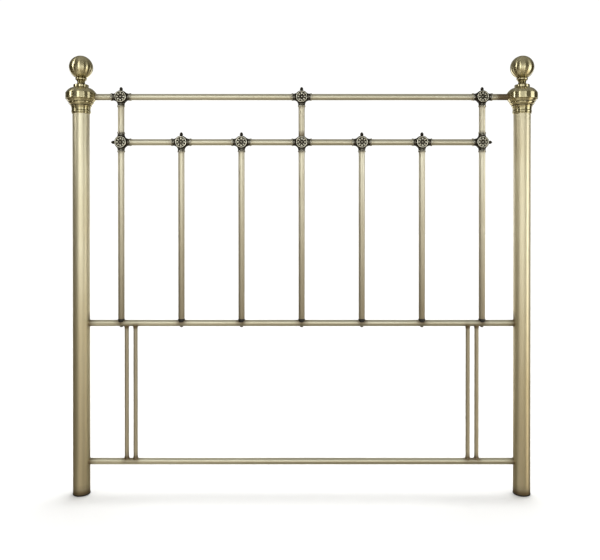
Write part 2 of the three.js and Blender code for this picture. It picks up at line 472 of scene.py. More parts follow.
def tube_brass(name, grain, stretch, pale, deep):
    """Tube, antique brass plated and lacquered: polished round its girth, pale gold with browner
    clouds, and darkened by painted shade, with some soil, next to joins and along uprights."""
    n = Nodes(name)
    lines = n.noise(1.0, 4, 0.6, stretch)
    clouds = n.noise(9.0, 3, 0.5, grain)
    specks = n.noise(420.0, 2, 0.6)
    shade_and_soil = n.attribute("shade_and_soil")
    base = n.mix(n.ranged(clouds, 0.35, 0.7, 0, 1), pale, deep)
    base = n.mix(n.ranged(lines, 0.3, 0.72, 0, 0.22), base, (0.56, 0.47, 0.29))
    base = n.mix(n.ranged(specks, 0.69, 0.78, 0, 0.35), base, (0.30, 0.22, 0.10))
    # Painted shade mixed with soil: the tube turns dark brown next to joins and along uprights.
    base = n.mix(n.maths("MULTIPLY", shade_and_soil, 0.86), base, (0.15, 0.09, 0.033))
    rough = n.maths("ADD", n.ranged(lines, 0.25, 0.75, 0.40, 0.47),
                    n.ranged(clouds, 0.3, 0.7, 0, 0.05))
    rough = n.maths("ADD", rough, n.maths("MULTIPLY", shade_and_soil, 0.2))
    n.skin(base, rough, lines, 0.12, 0.04)
    return n.metal(0.5, 0.3)


def cast_brass(name):
    """Turned and polished brass: bright rubbed faces, brown-black patina left in grooves."""
    n = Nodes(name)
    rings = n.noise(1.0, 3, 0.6, (30, 30, 2600))
    clouds = n.noise(46.0, 4, 0.6)
    hollow = n.attribute("hollow")
    base = n.mix(n.ranged(clouds, 0.35, 0.68, 0, 1),
                 (0.395, 0.335, 0.152), (0.305, 0.255, 0.108))
    base = n.mix(n.ranged(rings, 0.35, 0.7, 0, 0.35), base, (0.27, 0.22, 0.10))
    base = n.mix(n.ranged(hollow, -0.15, -0.7, 0, 0.6), base, (0.78, 0.70, 0.45))
    patina = n.ranged(hollow, 0.06, 0.55, 0, 0.93)
    base = n.mix(patina, base, (0.060, 0.042, 0.018))
    rough = n.maths("ADD", n.ranged(clouds, 0.3, 0.7, 0.23, 0.28),
                    n.maths("MULTIPLY", patina, 0.3))
    n.skin(base, rough, rings, 0.16, 0.03)
    n.along_axis("Z", 0.95)
    return n.metal(0.2, 0.08)


def dark_casting(name):
    """Sand-cast ornament, blackened and then relieved: pewter-grey brass on the high parts, black
    in the recesses, a black ring of painted shade round the hub's side, and a grainy skin. Each
    casting has clouds of its own."""
    n = Nodes(name)
    grain = n.noise(900.0, 3, 0.6)
    own = n.node("ShaderNodeObjectInfo").outputs["Random"]
    clouds = n.noise(140.0, 4, 0.6, offset=n.maths("MULTIPLY", own, 20))
    hollow = n.attribute("hollow")
    base = n.mix(n.ranged(clouds, 0.35, 0.68, 0, 1),
                 (0.095, 0.083, 0.062), (0.045, 0.039, 0.028))
    edges = n.maths("MAXIMUM", n.ranged(hollow, -0.08, -0.40, 0, 1),
                    n.maths("MULTIPLY", n.attribute("relief"), 0.6))
    rubbed = n.maths("MULTIPLY", edges, n.ranged(clouds, 0.25, 0.55, 0.7, 1))
    base = n.mix(rubbed, base, (0.84, 0.80, 0.66))
    # Black in the recesses, and painted shade round the hub's outer edge.
    recess_and_edge_shade = n.ranged(hollow, 0.03, 0.28, 0, 0.98)
    base = n.mix(recess_and_edge_shade, base, (0.010, 0.008, 0.006))
    rough = n.maths("ADD", n.ranged(grain, 0.3, 0.7, 0.20, 0.34),
                    n.maths("MULTIPLY", recess_and_edge_shade, 0.35))
    n.skin(base, rough, grain, 0.35, 0.12)
    return n.metal()


def weld_metal(name):
    """Welds, brushed and plated with the tube: the same gold, duller and browner."""
    n = Nodes(name)
    clouds = n.noise(300.0, 4, 0.6)
    base = n.mix(n.ranged(clouds, 0.3, 0.7, 0, 1), (0.52, 0.44, 0.27), (0.27, 0.20, 0.10))
    n.skin(base, n.ranged(clouds, 0.3, 0.7, 0.3, 0.5), clouds, 0.4, 0.15)
    return n.metal()


def plastic(name, colour, scuffed):
    """Moulded plastic with a fine spark-eroded grain and faint scuffs."""
    n = Nodes(name)
    grain = n.noise(1500.0, 2, 0.5)
    scuffs = n.noise(60.0, 5, 0.65, (1, 1, 3))
    base = n.mix(n.ranged(scuffs, 0.45, 0.75, 0, 1), colour, scuffed)
    n.skin(base, n.ranged(scuffs, 0.3, 0.7, 0.36, 0.58), grain, 0.3, 0.06)
    return n.material


def plain_metal(name, bright, dull, low, high, scale):
    """Screws, studs and nuts: plated steel with dull blotches and dirt in its recesses.
    low and high: its roughness."""
    n = Nodes(name)
    clouds = n.noise(scale, 4, 0.6)
    dirt = n.ranged(n.attribute("hollow"), 0.1, 0.6, 0, 0.8)
    base = n.mix(n.ranged(clouds, 0.35, 0.7, 0, 1), bright, dull)
    base = n.mix(dirt, base, (0.03, 0.026, 0.02))
    n.skin(base, n.ranged(clouds, 0.3, 0.7, low, high), clouds, 0.2, 0.05)
    return n.metal()


POST = tube_brass("brass_tube_post", (1, 1, 0.35), (700, 700, 5),
                  (0.87, 0.80, 0.585), (0.79, 0.70, 0.465))
UPRIGHT = tube_brass("brass_tube_upright", (1, 1, 0.35), (700, 700, 5),
                     (0.87, 0.82, 0.65), (0.79, 0.72, 0.535))
# The level tubes take a darker copy of the upright tube's colours: painted shade for the rails.
SHADED_LEVEL = tube_brass("brass_tube_level_shaded", (0.35, 1, 1), (5, 700, 700),
                   (0.79, 0.755, 0.595), (0.72, 0.67, 0.495))
CAST = cast_brass("brass_turned")
DARK = dark_casting("brass_blackened")
WELD = weld_metal("brass_weld")
BLACK = plastic("plastic_black", (0.012, 0.009, 0.006), (0.034, 0.027, 0.019))
NYLON = plastic("nylon_washer", (0.03, 0.028, 0.025), (0.10, 0.095, 0.085))
SCREW = plain_metal("steel_bronzed", (0.30, 0.26, 0.20), (0.16, 0.13, 0.09), 0.28, 0.42, 500)
ZINC = plain_metal("steel_zinc", (0.66, 0.67, 0.68), (0.47, 0.47, 0.46), 0.25, 0.4, 260)


def piece(name, mesh, material, body, slot, *nodes, place=(0, 0, 0)):
    """Puts a mesh in the scene as a piece that rides on a CAD body and stands for CAD nodes.
    place is in millimetres: most meshes are already in place, and only shared ones move."""
    made = loose(name, mesh)
    if not mesh.materials:
        mesh.materials.append(material)
    made.location = [c * MM for c in place]
    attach(made, body)
    if nodes:
        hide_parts(*nodes)


# --- Joins, which darken the tubes next to them with painted shade and soil ----------------

# How far the painted shade and soil reach from each join, in millimetres. The right collar's
# longer reach is painted shadow on the rails beside the right post.
CASTING_REACH = 25
COLLAR_REACH = {"left": 46, "right": 78}
PLUG_UP, PLUG_REACH = 6, 11.5
FOOT_CAP_TOP = 4
BAR_FOOT_REACH, BAR_HEAD_REACH = 8.5, 8

for x in SHORT_X.values():
    JOINS.append((at(x, TOP_Z), CASTING_REACH))
for x in SPINDLE_X:
    JOINS.append((at(x, SECOND_Z), CASTING_REACH))
    JOINS.append((at(x, LOWER_Z + PLUG_UP), PLUG_REACH))
for sign in SIDES.values():
    JOINS.append((at(sign * POST_X, FOOT_CAP_TOP), POST_R + 0.4))
    for z in (LOWER_Z, BOTTOM_Z):
        JOINS.append((at(sign * (POST_X - POST_R), z), TUBE_R + 0.6))
for node in BARS:
    x = middle(node)[0]
    JOINS.append((at(x, BOTTOM_Z + TUBE_R), BAR_FOOT_REACH))
    JOINS.append((at(x, LOWER_Z - TUBE_R), BAR_HEAD_REACH))

# These darken the rail beside each collar with painted shadow, but not the post under the collar;
# the right one reaches further.
COLLAR_JOINS = [(at(sign * POST_X, TOP_Z), COLLAR_REACH[side]) for side, sign in SIDES.items()]


# --- Posts and feet ------------------------------------------------------------------------

# Profiles are (radius, height). The foot cap's heights are above the floor.
CAP_OUTSIDE = rounded([
    (0, 0.6), (20.5, 0.6), (21.2, 0), (24.4, 0), (26.2, 1.6), (26.2, 4.1), (25.6, 4.25),
    (23.3, 4.25)], 0.7)
CAP_INSIDE = rounded([(23.3, 4.25), (23.3, 21.4), (22.7, 22), (21, 22), (21, 6), (0, 6)], 0.5)

for side, sign in SIDES.items():
    low, high = span(f"post_{side}")
    foot, top = low[2], high[2]
    heights = np.concatenate([
        foot + 0.8 + np.geomspace(0.5, 30, 8), np.arange(foot + 50, top - 40, 30.0),
        top - 0.8 - np.geomspace(0.5, 30, 8)[::-1]])
    outer = [(POST_R - 0.5, foot), (POST_R - 0.15, foot + 0.15), (POST_R, foot + 0.5)]
    outer += [(POST_R, z) for z in heights]
    outer += [(POST_R, top - 0.4), (POST_R - 0.4, top)]
    inner = [(POST_R - POST_WALL, top), (POST_R - POST_WALL, foot)]
    verts, faces = turned(outer + inner, centre=at(sign * POST_X))
    mesh = new_mesh(f"post_{side}", verts, faces)
    mark_shade_and_soil(mesh)
    piece(f"brass_post_{side}", mesh, POST, "frame", "tube_antique_brass", f"post_{side}")

    verts, faces = turned(CAP_OUTSIDE + CAP_INSIDE[1:], 96, at(sign * POST_X))
    piece(f"foot_glide_{side}", new_mesh(f"cap_{side}", verts, faces), BLACK, "frame",
          "black_plastic", f"foot_cap_{side}")


# --- Collars and finials -------------------------------------------------------------------

# Their heights are above the top rail's axis.
COLLAR_SKIN = (
    through([(28.4, 26.4), (30.6, 26.0), (34.4, 24.0), (38.4, 20.6), (41.8, 16.9), (44.2, 13.4)])
    + through([(44.5, 12.6), (45.4, 11.9), (45.9, 10.8), (46.0, 9.6)])
    + through([(46.0, 9.0), (46.0, -5.6)])
    + through([(46.0, -6.0), (45.7, -7.3), (44.7, -8.2)])
    + through([(43.7, -8.5), (43.2, -9.3), (41.6, -12.0), (39.3, -15.0), (37.8, -16.3)])
    + through([(37.1, -16.5), (36.5, -16.9), (37.0, -17.5)])
    + through([(37.4, -17.9), (37.0, -19.7), (35.5, -22.0), (33.4, -24.4), (32.2, -25.6)])
    + through([(31.4, -26.0), (30.5, -26.7), (30.5, -27.7), (30.9, -28.1)])
    + through([(30.7, -29.0), (29.5, -31.4), (28.4, -35.4), (27.9, -39.6), (27.9, -42.6)])
    + through([(28.1, -43.0), (28.9, -44.1), (29.0, -45.6), (28.6, -47.2)])
    + through([(28.1, -47.6), (27.8, -48.9), (27.9, -50.2), (27.2, -51.6), (26.3, -52.3)])
)
COLLAR_BORE = [
    (25.7, -52.3), (25.7, -22), (21, -22), (21, 17), (17, 21), (5.6, 21), (5.6, 26.0),
    (6.0, 26.4)]
RAIL_SOCKET = turned([(0, 0), (TUBE_R + 0.3, 0), (TUBE_R + 0.3, 40), (0, 40)], 64)
SOCKET_START = 14  # from the post's axis

BALL_R, BALL_INSIDE_R = 35.5, 33.5
BALL_Z = 91


def ball(radius, start, end, steps):
    """The ball's profile between two angles above its equator, in degrees."""
    for i in range(steps + 1):
        a = math.radians(start + (end - start) * i / steps)
        yield max(radius * math.cos(a), 0), BALL_Z + radius * math.sin(a)


FINIAL_SKIN = (
    rounded([(5.3, 28.4), (21.8, 28.4), (22.8, 29.2), (22.8, 36.4), (21.8, 37.3),
             (16.4, 37.9)], 0.6)
    + through([(15.8, 38.0), (13.6, 39.2), (12.2, 41.4), (11.5, 44.4), (11.8, 47.2), (12.9, 49.6)])
    + through([(13.2, 50.0), (13.1, 50.7), (13.6, 51.2)])
    + through([(14.6, 51.3), (16.3, 52.3), (17.1, 54.4), (16.9, 56.4), (16.1, 57.7)])
    + through([(15.8, 58.0), (15.6, 58.9), (16.2, 59.4)])
    + list(ball(BALL_R, -62.6, 90, 76))
)
FINIAL_BORE = list(ball(BALL_INSIDE_R, 90, -75, 20)) + [(5.3, 58)]


def thread(radius, pitch, depth, low, high, segments=40, per_turn=10, chamfer=1.2):
    """A rod with a real screw thread and chamfered ends."""
    rows = int((high - low) / pitch * per_turn)
    verts, faces = [(0, 0, low)], []
    for i in range(rows + 1):
        z = low + (high - low) * i / rows
        for k in range(segments):
            turn = (z / pitch - k / segments) % 1
            r = radius - depth * min(max(abs(turn - 0.5) * 2.4 - 0.2, 0), 1)
            r = min(r, radius - chamfer + (z - low), radius - chamfer + (high - z))
            a = TAU * k / segments
            verts.append((r * math.cos(a), r * math.sin(a), z))
    verts.append((0, 0, high))
    last = len(verts) - 1
    for i in range(rows):
        for k in range(segments):
            n = (k + 1) % segments
            faces.append([1 + i * segments + k, 1 + i * segments + n,
                          1 + (i + 1) * segments + n, 1 + (i + 1) * segments + k])
    for k in range(segments):
        n = (k + 1) % segments
        faces.append([0, 1 + n, 1 + k])
        faces.append([last, 1 + rows * segments + k, 1 + rows * segments + n])
    return np.array(verts, float), faces


for side, sign in SIDES.items():
    here = at(sign * POST_X, TOP_Z)
    skin, faces = turned(COLLAR_SKIN + COLLAR_BORE, centre=here)
    collar = new_mesh(f"collar_{side}", skin, faces)
    socket, faces = turned_to(RAIL_SOCKET, "left" if sign > 0 else "right")
    collar = cut(collar, socket + here - at(sign * SOCKET_START), faces)
    mark_hollows(collar)
    piece(f"turned_collar_{side}", collar, CAST, "frame", "cast_antique_brass", f"collar_{side}")

    verts, faces = turned(FINIAL_SKIN + FINIAL_BORE, centre=here)
    finial = new_mesh(f"finial_{side}", verts, faces)
    mark_hollows(finial)
    piece(f"ball_finial_{side}", finial, CAST, f"finial_{side}", "cast_antique_brass",
          f"finial_{side}")

    verts, faces = thread(radius=5, pitch=1.5, depth=0.85, low=6.4, high=50)
    stud = new_mesh(f"stud_{side}", verts + here, faces, math.radians(50))
    mark_hollows(stud, 6, 0.12)
    piece(f"finial_screw_{side}", stud, ZINC, f"finial_{side}", "zinc_steel",
          f"finial_stud_{side}")

    low, high = (corner[2] for corner in span(f"finial_washer_{side}"))
    ring = rounded([
        (5.3, low + 0.4), (5.7, low), (20.9, low), (21.4, low + 0.5), (21.4, high - 0.5),
        (20.9, high), (5.7, high), (5.3, high - 0.4)], 0.3)
    verts, faces = turned(ring, 96, at(sign * POST_X))
    piece(f"soft_washer_{side}", new_mesh(f"washer_{side}", verts, faces), NYLON,
          f"washer_{side}", "washer_nylon", f"finial_washer_{side}")

    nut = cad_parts[f"finial_nut_{side}"]
    nut.data.materials.clear()
    nut.data.materials.append(ZINC)


# --- Rails ---------------------------------------------------------------------------------


def beside_post(y):
    """How far the post's surface stands from its axis, at a sideways offset."""
    return math.sqrt((POST_R - 0.1) ** 2 - y * y)


def stations(low, high, step=12.0):
    """Places along a tube, with its radius, so that its soil has points to sit on."""
    count = int((high - low) / step)
    return [(low + (high - low) * i / count, TUBE_R) for i in range(count + 1)]


COPE_ROOM = 14  # at each end of a rail that fits round the posts


def rail(node, coped):
    low, high = span(node)
    if coped:
        places = [(0, TUBE_R), *stations(low[0] + COPE_ROOM, high[0] - COPE_ROOM), (0, TUBE_R)]
        ends = (lambda y: -POST_X + beside_post(y), lambda y: POST_X - beside_post(y))
    else:
        places = stations(low[0], high[0])
        ends = (low[0], high[0])
    verts, faces = pipe(TUBE_R, TUBE_WALL, places, *ends, level=True)
    mesh = new_mesh(node, verts + at(z=RAIL_Z[node]), faces)
    mark_shade_and_soil(mesh, more=COLLAR_JOINS)
    piece(f"brass_{node}", mesh, SHADED_LEVEL, "frame", "tube_antique_brass", node)


for node in RAILS:
    rail(node, node in ("lower_rail", "bottom_rail"))


# --- Spindles ------------------------------------------------------------------------------


# foot_shade: how dark the painted shade at the spindle's foot is; it fades out towards the head.
def spindle(name, node, foot_shade):
    low, high = (corner[2] for corner in span(node))
    places = [(low, TUBE_R - 0.2), (low + 0.3, TUBE_R), *stations(low + 2, high - 2),
              (high, TUBE_R)]
    verts, faces = pipe(TUBE_R, TUBE_WALL, places, low, high, level=False)
    mesh = new_mesh(name, verts + at(middle(node)[0]), faces)
    mark_shade_and_soil(mesh, foot=foot_shade)
    piece(name, mesh, UPRIGHT, "frame", "tube_antique_brass", node)


for place in SHORT_X:
    spindle(f"brass_short_spindle_{place}", f"short_spindle_{place}", 0.05)

# The heights of plug and screw are above the lower rail's axis.
PLUG_SKIN = rounded([
    (3.3, 3.5), (10.6, 3.5), (10.6, 11.9), (10.1, 12.6), (8.3, 12.75), (8.0, 13.6), (8.0, 26.6),
    (7.0, 28), (3.3, 28)], 0.5)
SCREW_SKIN = rounded([
    (0, -12.9), (2.9, -12.9), (4.2, -12.2), (4.8, -10.6), (4.8, -9.8), (3.0, -9.8), (3.0, 26.2),
    (2.2, 27), (0, 27)], 0.35)
under_rail = turned([(0, -20), (TUBE_R + 0.1, -20), (TUBE_R + 0.1, 20), (0, 20)], 96)
plug_mesh = cut(new_mesh("plug", *turned(PLUG_SKIN, 64)), *turned_to(under_rail, "right"))
hex_socket = turned([(0, -14), (1.75, -14), (1.75, -11.2), (0, -11.2)], 6)
screw_mesh = cut(new_mesh("screw", *turned(SCREW_SKIN, 32)), *hex_socket)
mark_hollows(screw_mesh, 4, 0.3)

# Painted shade darkens each long spindle towards its foot.
for i, x in zip(SPINDLES, SPINDLE_X):
    spindle(f"brass_spindle_{i}", f"spindle_{i}", 0.7)
    piece(f"foot_plug_{i}", plug_mesh, BLACK, "frame", "black_plastic", f"spindle_plug_{i}",
          place=at(x, LOWER_Z))
    piece(f"foot_screw_{i}", screw_mesh, SCREW, "frame", "bronzed_screw", f"spindle_screw_{i}",
          place=at(x, LOWER_Z))


# --- Slim bars of the bolt slots -----------------------------------------------------------


def over_rail(y):
    """How far a rail's surface stands from its axis, at a sideways offset."""
    return math.sqrt((TUBE_R - 0.1) ** 2 - y * y)


# Each bar flares where it is welded: (distance from the rail's axis, radius).
BAR_FLARE_BELOW = [(9.9, 8.3), (10.8, 7.9), (12.2, 7.3), (14.4, 6.85), (17, 6.5), (20, BAR_R)]
BAR_FLARE_ABOVE = [(19, BAR_R), (15.5, 6.6), (12.6, 6.95), (11, 7.3), (9.9, 7.6)]

for node in BARS:
    x = middle(node)[0]
    places = [(0, 8.3)] + [(BOTTOM_Z + z, r) for z, r in BAR_FLARE_BELOW]
    places += [(z, BAR_R) for z in np.linspace(BOTTOM_Z + 32, LOWER_Z - 30, 30)]
    places += [(LOWER_Z - z, r) for z, r in BAR_FLARE_ABOVE] + [(0, 7.6)]
    verts, faces = pipe(BAR_R, BAR_WALL, places, lambda y: BOTTOM_Z + over_rail(y),
                        lambda y: LOWER_Z - over_rail(y), level=False, segments=BAR_SEGMENTS)
    mesh = new_mesh(node, verts + at(x), faces)
    # Painted shade darkens each slim bar, more towards its head.
    mark_shade_and_soil(mesh, foot=0.15, head=0.5)
    piece(f"brass_{node}", mesh, UPRIGHT, "frame", "tube_antique_brass", node)


# --- Welds ---------------------------------------------------------------------------------


def weld_to_post(sign, z, rho=TUBE_R + 0.35):
    """The path of a bead where a rail meets a post."""
    def path(a):
        y = rho * math.cos(a)
        x = sign * (POST_X - math.sqrt(POST_R**2 - y * y) - 0.25)
        out = np.array([0, math.cos(a), math.sin(a)])
        return np.array([x, y, z + rho * math.sin(a)]), out, np.array([1.0, 0, 0])
    return path


def weld_to_rail(x, z, up, rho):
    """The path of a bead where a slim bar stands on a rail (up 1) or hangs from it (-1)."""
    def path(a):
        y = rho * math.sin(a)
        rise = up * (math.sqrt(TUBE_R**2 - y * y) + 0.2)
        out = np.array([math.cos(a), math.sin(a), 0])
        return np.array([x + rho * math.cos(a), y, z + rise]), out, np.array([0, 0, 1.0])
    return path


seed = 11
for side, sign in SIDES.items():
    for place, z in (("lower", LOWER_Z), ("bottom", BOTTOM_Z)):
        seed += 1
        mesh = new_mesh("weld", *bead(weld_to_post(sign, z), 1.25, seed))
        piece(f"weld_{place}_rail_{side}", mesh, WELD, "frame", "tube_antique_brass")
for node in BARS:
    x = middle(node)[0]
    beads = []
    for z, up, rho in ((BOTTOM_Z, 1, 7.9), (LOWER_Z, -1, 7.4)):
        seed += 1
        beads.append(bead(weld_to_rail(x, z, up, rho), 0.95, seed, 120))
    piece(f"weld_{node}", new_mesh("weld", *combine(*beads)), WELD, "frame",
          "tube_antique_brass")


# --- Junction castings ---------------------------------------------------------------------

# In millimetres from the hub's centre.
HUB_SIDE = [(0, -9.6), (17.2, -9.6), (18.8, -8.9), (19.7, -7.2), (20, -4), (20, 4),
            (19.7, 7.2), (18.8, 8.9), (17.2, 9.6), (0, 9.6)]
ARM_SKIN = [
    (0, 4), (15.6, 11), (13.4, 15), (11.6, 19), (10.7, 22.4), (10.6, 25.6), (11.1, 26.2),
    (11.7, 26.5), (12.0, 27.1), (11.7, 27.7), (10.7, 28.2), (10.7, 28.7), (11.7, 29.1),
    (12.2, 29.7), (12.2, 30.2), (11.6, 30.8), (10.2, 31.0), (0, 31.0)]
SPIKE_SKIN = [
    (0, 12), (7.2, 14), (6.2, 18.4), (4.7, 20.2), (4.1, 21.2), (4.8, 22.4), (5.2, 24.0),
    (4.9, 26.0), (3.8, 28.2), (2.4, 30.0), (1.1, 30.9), (0, 31.0)]


def flattened(part, root=9.3, tip=10.8, start=13, end=22):
    """An arm whose flare into the hub spreads sideways but gets no deeper than the hub."""
    v, f = part
    share = np.clip((v[:, 2] - start) / (end - start), 0, 1)
    limit = root + (tip - root) * share
    radius = np.maximum(np.hypot(v[:, 0], v[:, 1]), 1e-6)
    squeeze = np.where(v[:, 2] < end, np.minimum(limit / radius, 1), 1)
    return np.stack([v[:, 0], v[:, 1] * squeeze, v[:, 2]], 1), f


def rosette(r, a):
    """The ornament's height above the headboard's plane, at a radius and an angle: boss,
    well, eight petals, groove, rim and shoulder."""
    wave = abs(math.cos(4 * a))
    petal = 1.0 if wave > 0.88 else max(wave * 1.5 - 0.32, 0) ** 0.8
    steps = (
        (0.0, 13.0), (1.2, 12.8), (2.2, 12.0), (2.9, 10.5), (3.4, 9.8), (6.2, 9.8),
        (6.9, 9.9 + 1.4 * petal), (7.8, 9.9 + 2.2 * petal), (9.8, 9.9 + 2.4 * petal),
        (11.7, 9.9 + 2.3 * petal), (12.9, 9.9 + 1.7 * petal), (13.5, 9.9 + 0.5 * petal),
        (14.0, 10.0), (14.6, 12.1), (15.2, 12.95), (16.2, 12.95), (16.9, 12.3), (17.6, 10.9),
        (18.3, 10.1), (19.0, 9.0))
    for (r0, h0), (r1, h1) in zip(steps, steps[1:]):
        if r <= r1:
            t = (r - r0) / (r1 - r0)
            t = t * t * (3 - 2 * t)  # eased, so that the steps are soft
            return h0 + (h1 - h0) * t
    return steps[-1][1]


def rosette_plate(facing, rings=60, spokes=144, outer=19.0, back=7):
    """The ornament as a closed plate whose back is sunk in the hub."""
    verts, faces = [(0, facing * rosette(0, 0), 0)], []
    for i in range(1, rings + 1):
        r = outer * i / rings
        for k in range(spokes):
            a = TAU * (k + 0.5) / spokes
            verts.append((r * math.cos(a), facing * rosette(r, a), r * math.sin(a)))
    verts.append((0, facing * back, 0))
    for k in range(spokes):
        n = (k + 1) % spokes
        faces.append([0, 1 + k, 1 + n])
        edge = 1 + (rings - 1) * spokes
        faces.append([edge + k, len(verts) - 1, edge + n])
    for i in range(rings - 1):
        for k in range(spokes):
            n = (k + 1) % spokes
            a, b = 1 + i * spokes, 1 + (i + 1) * spokes
            faces.append([a + k, b + k, b + n, a + n])
    return np.array(verts, float), faces


def facing_front(part):
    """A part turned so that its upright axis points along +Y."""
    v, f = part
    return np.stack([v[:, 0], v[:, 2], v[:, 1]], 1), f


ROSETTES = combine(rosette_plate(-1), rosette_plate(1))


def casting_mesh(name, arms, spike):
    """One casting: a hub with arms that hold the tubes, a spike, and a rosette each side."""
    parts = [facing_front(turned(HUB_SIDE, 96))]
    parts += [turned_to(flattened(turned(ARM_SKIN, 64)), way) for way in arms]
    if spike:
        parts.append(turned_to(turned(SPIKE_SKIN, 40), spike))
    skin = fused(name, parts, voxel=0.62, smooth=2)
    bm = bmesh.new()
    bm.from_mesh(skin)
    plate = new_mesh("plate", *ROSETTES)
    bm.from_mesh(plate)
    bm.to_mesh(skin)
    bm.free()
    mesh = finish_mesh(skin, math.radians(60))
    mark_hollows(mesh, passes=14, depth=0.55)
    mark_relief(mesh)
    paint_edge_shade_and_black_spike(mesh, spike)
    return mesh


FORMS = {
    "tee": casting_mesh("casting_tee", ("left", "right", "down"), "up"),
    "left_end": casting_mesh("casting_left_end", ("up", "right", "down"), "left"),
    "right_end": casting_mesh("casting_right_end", ("up", "left", "down"), "right"),
    "centre": casting_mesh("casting_centre", ("left", "right", "down"), None),
}
PLACED = [(f"casting_top_{place}", "tee", x, TOP_Z) for place, x in SHORT_X.items()]
for i, x in zip(SPINDLES, SPINDLE_X):
    form = {1: "left_end", 4: "centre", 7: "right_end"}.get(i, "tee")
    PLACED.append((f"casting_{i}", form, x, SECOND_Z))
for node, form, x, z in PLACED:
    piece(f"ornament_{node}", FORMS[form], DARK, "frame", "dark_cast_brass", node,
          place=at(x, z))


# --- Floor, light and camera ---------------------------------------------------------------


def studio_floor(size=60):
    """Plain pale paper, which the metal doesn't mirror."""
    mesh = bpy.data.meshes.new("studio_floor")
    h = size / 2
    mesh.from_pydata([(-h, -h, 0), (h, -h, 0), (h, h, 0), (-h, h, 0)], [], [(0, 1, 2, 3)])
    floor = loose("studio_floor", mesh)
    n = Nodes("studio_paper")
    clouds = n.noise(0.7, 3, 0.5)
    n.link(n.mix(n.ranged(clouds, 0.3, 0.7, 0, 1), (0.90, 0.90, 0.895), (0.87, 0.87, 0.865)),
           n.shader.inputs["Base Color"])
    n.shader.inputs["Roughness"].default_value = 0.9
    n.shader.inputs["Specular IOR Level"].default_value = 0.1
    mesh.materials.append(n.material)
    floor.visible_glossy = False


# How a panel's light changes with height in metres. The posts mirror a panel from z = -0.8 to
# 1.5 or so, where it goes from warm and weak to full. Above that only the collars (z = 1.6)
# and the balls (z = 1.8) mirror it.
STEEP_FADE = [
    (-1.0, (0.135, 0.10, 0.062)), (-0.25, (0.245, 0.20, 0.143)), (0.25, (0.365, 0.335, 0.28)),
    (0.7, (0.61, 0.62, 0.60)), (1.3, (0.98, 1.04, 1.07)), (1.45, (1.06, 1.13, 1.14)),
    (1.66, (0.55, 0.565, 0.57)), (2.5, (0.50, 0.51, 0.51))]
EDGE_FADE = STEEP_FADE[:6] + [
    (1.66, (1.0, 1.02, 1.04)), (1.80, (0.80, 0.80, 0.79)), (2.5, (0.74, 0.74, 0.73))]
MIDDLE_FADE = [
    (-1.0, (0.09, 0.067, 0.042)), (-0.25, (0.15, 0.122, 0.088)), (0.25, (0.26, 0.238, 0.20)),
    (0.7, (0.53, 0.535, 0.52)), (1.15, (1.0, 1.05, 1.10)), (1.32, (0.86, 0.90, 0.93)),
    (1.5, (0.22, 0.225, 0.23)), (2.5, (0.14, 0.14, 0.14))]
LEFT_FADE = [
    (-0.8, (0.02, 0.016, 0.01)), (-0.25, (0.06, 0.05, 0.035)), (0.25, (0.18, 0.16, 0.13)),
    (0.7, (0.60, 0.61, 0.59)), (0.93, (0.95, 0.99, 1.02)), (1.06, (0.6, 0.62, 0.64)),
    (1.2, (0, 0, 0))]
RIGHT_FADE = [
    (-1.0, (0.265, 0.213, 0.137)), (-0.25, (0.405, 0.35, 0.25)), (0.25, (0.525, 0.49, 0.415)),
    (0.7, (0.74, 0.75, 0.72)), (0.93, (1.0, 1.04, 1.07)), (1.06, (0.7, 0.72, 0.74)),
    (1.2, (0, 0, 0))]
SIDE_FADE = [
    (-1.0, (0.22, 0.165, 0.10)), (-0.25, (0.40, 0.335, 0.24)), (0.25, (0.58, 0.54, 0.455)),
    (0.7, (0.82, 0.83, 0.79)), (1.3, (1.0, 1.05, 1.08)), (1.5, (0.72, 0.75, 0.77)),
    (1.66, (0.25, 0.255, 0.255)), (1.78, (0.14, 0.14, 0.135))]
CORNER_FADE = MIDDLE_FADE[:4] + [
    (1.15, (1.0, 1.05, 1.10)), (1.4, (0.9, 0.94, 0.97)), (1.55, (0.16, 0.16, 0.16)),
    (1.75, (0.10, 0.10, 0.095))]
HIGH_FADE = [
    (-1.0, (0.01, 0.008, 0.006)), (0.7, (0.03, 0.03, 0.03)), (1.44, (0.05, 0.05, 0.05)),
    (1.60, (1.0, 1.02, 1.04)), (1.74, (0.84, 0.84, 0.83)), (2.2, (0.76, 0.76, 0.75))]
GENTLE_FADE = [
    (-1.0, (0.36, 0.31, 0.23)), (-0.25, (0.56, 0.53, 0.46)), (0.25, (0.76, 0.75, 0.71)),
    (0.7, (0.88, 0.89, 0.89)), (1.35, (0.98, 1.0, 1.05)), (1.6, (0.12, 0.12, 0.12))]
PANEL_LOW, PANEL_HIGH = -1.0, 2.5


def panel(name, width, height, radiance):
    """A one-sided panel of light, in metres, that only metal mirrors."""
    data = bpy.data.lights.new(name, "AREA")
    data.shape = "RECTANGLE"
    data.size, data.size_y = width, height
    data.energy = radiance * math.pi * width * height
    light = loose(name, data)
    light.visible_camera = False
    light.visible_diffuse = False
    return data, light


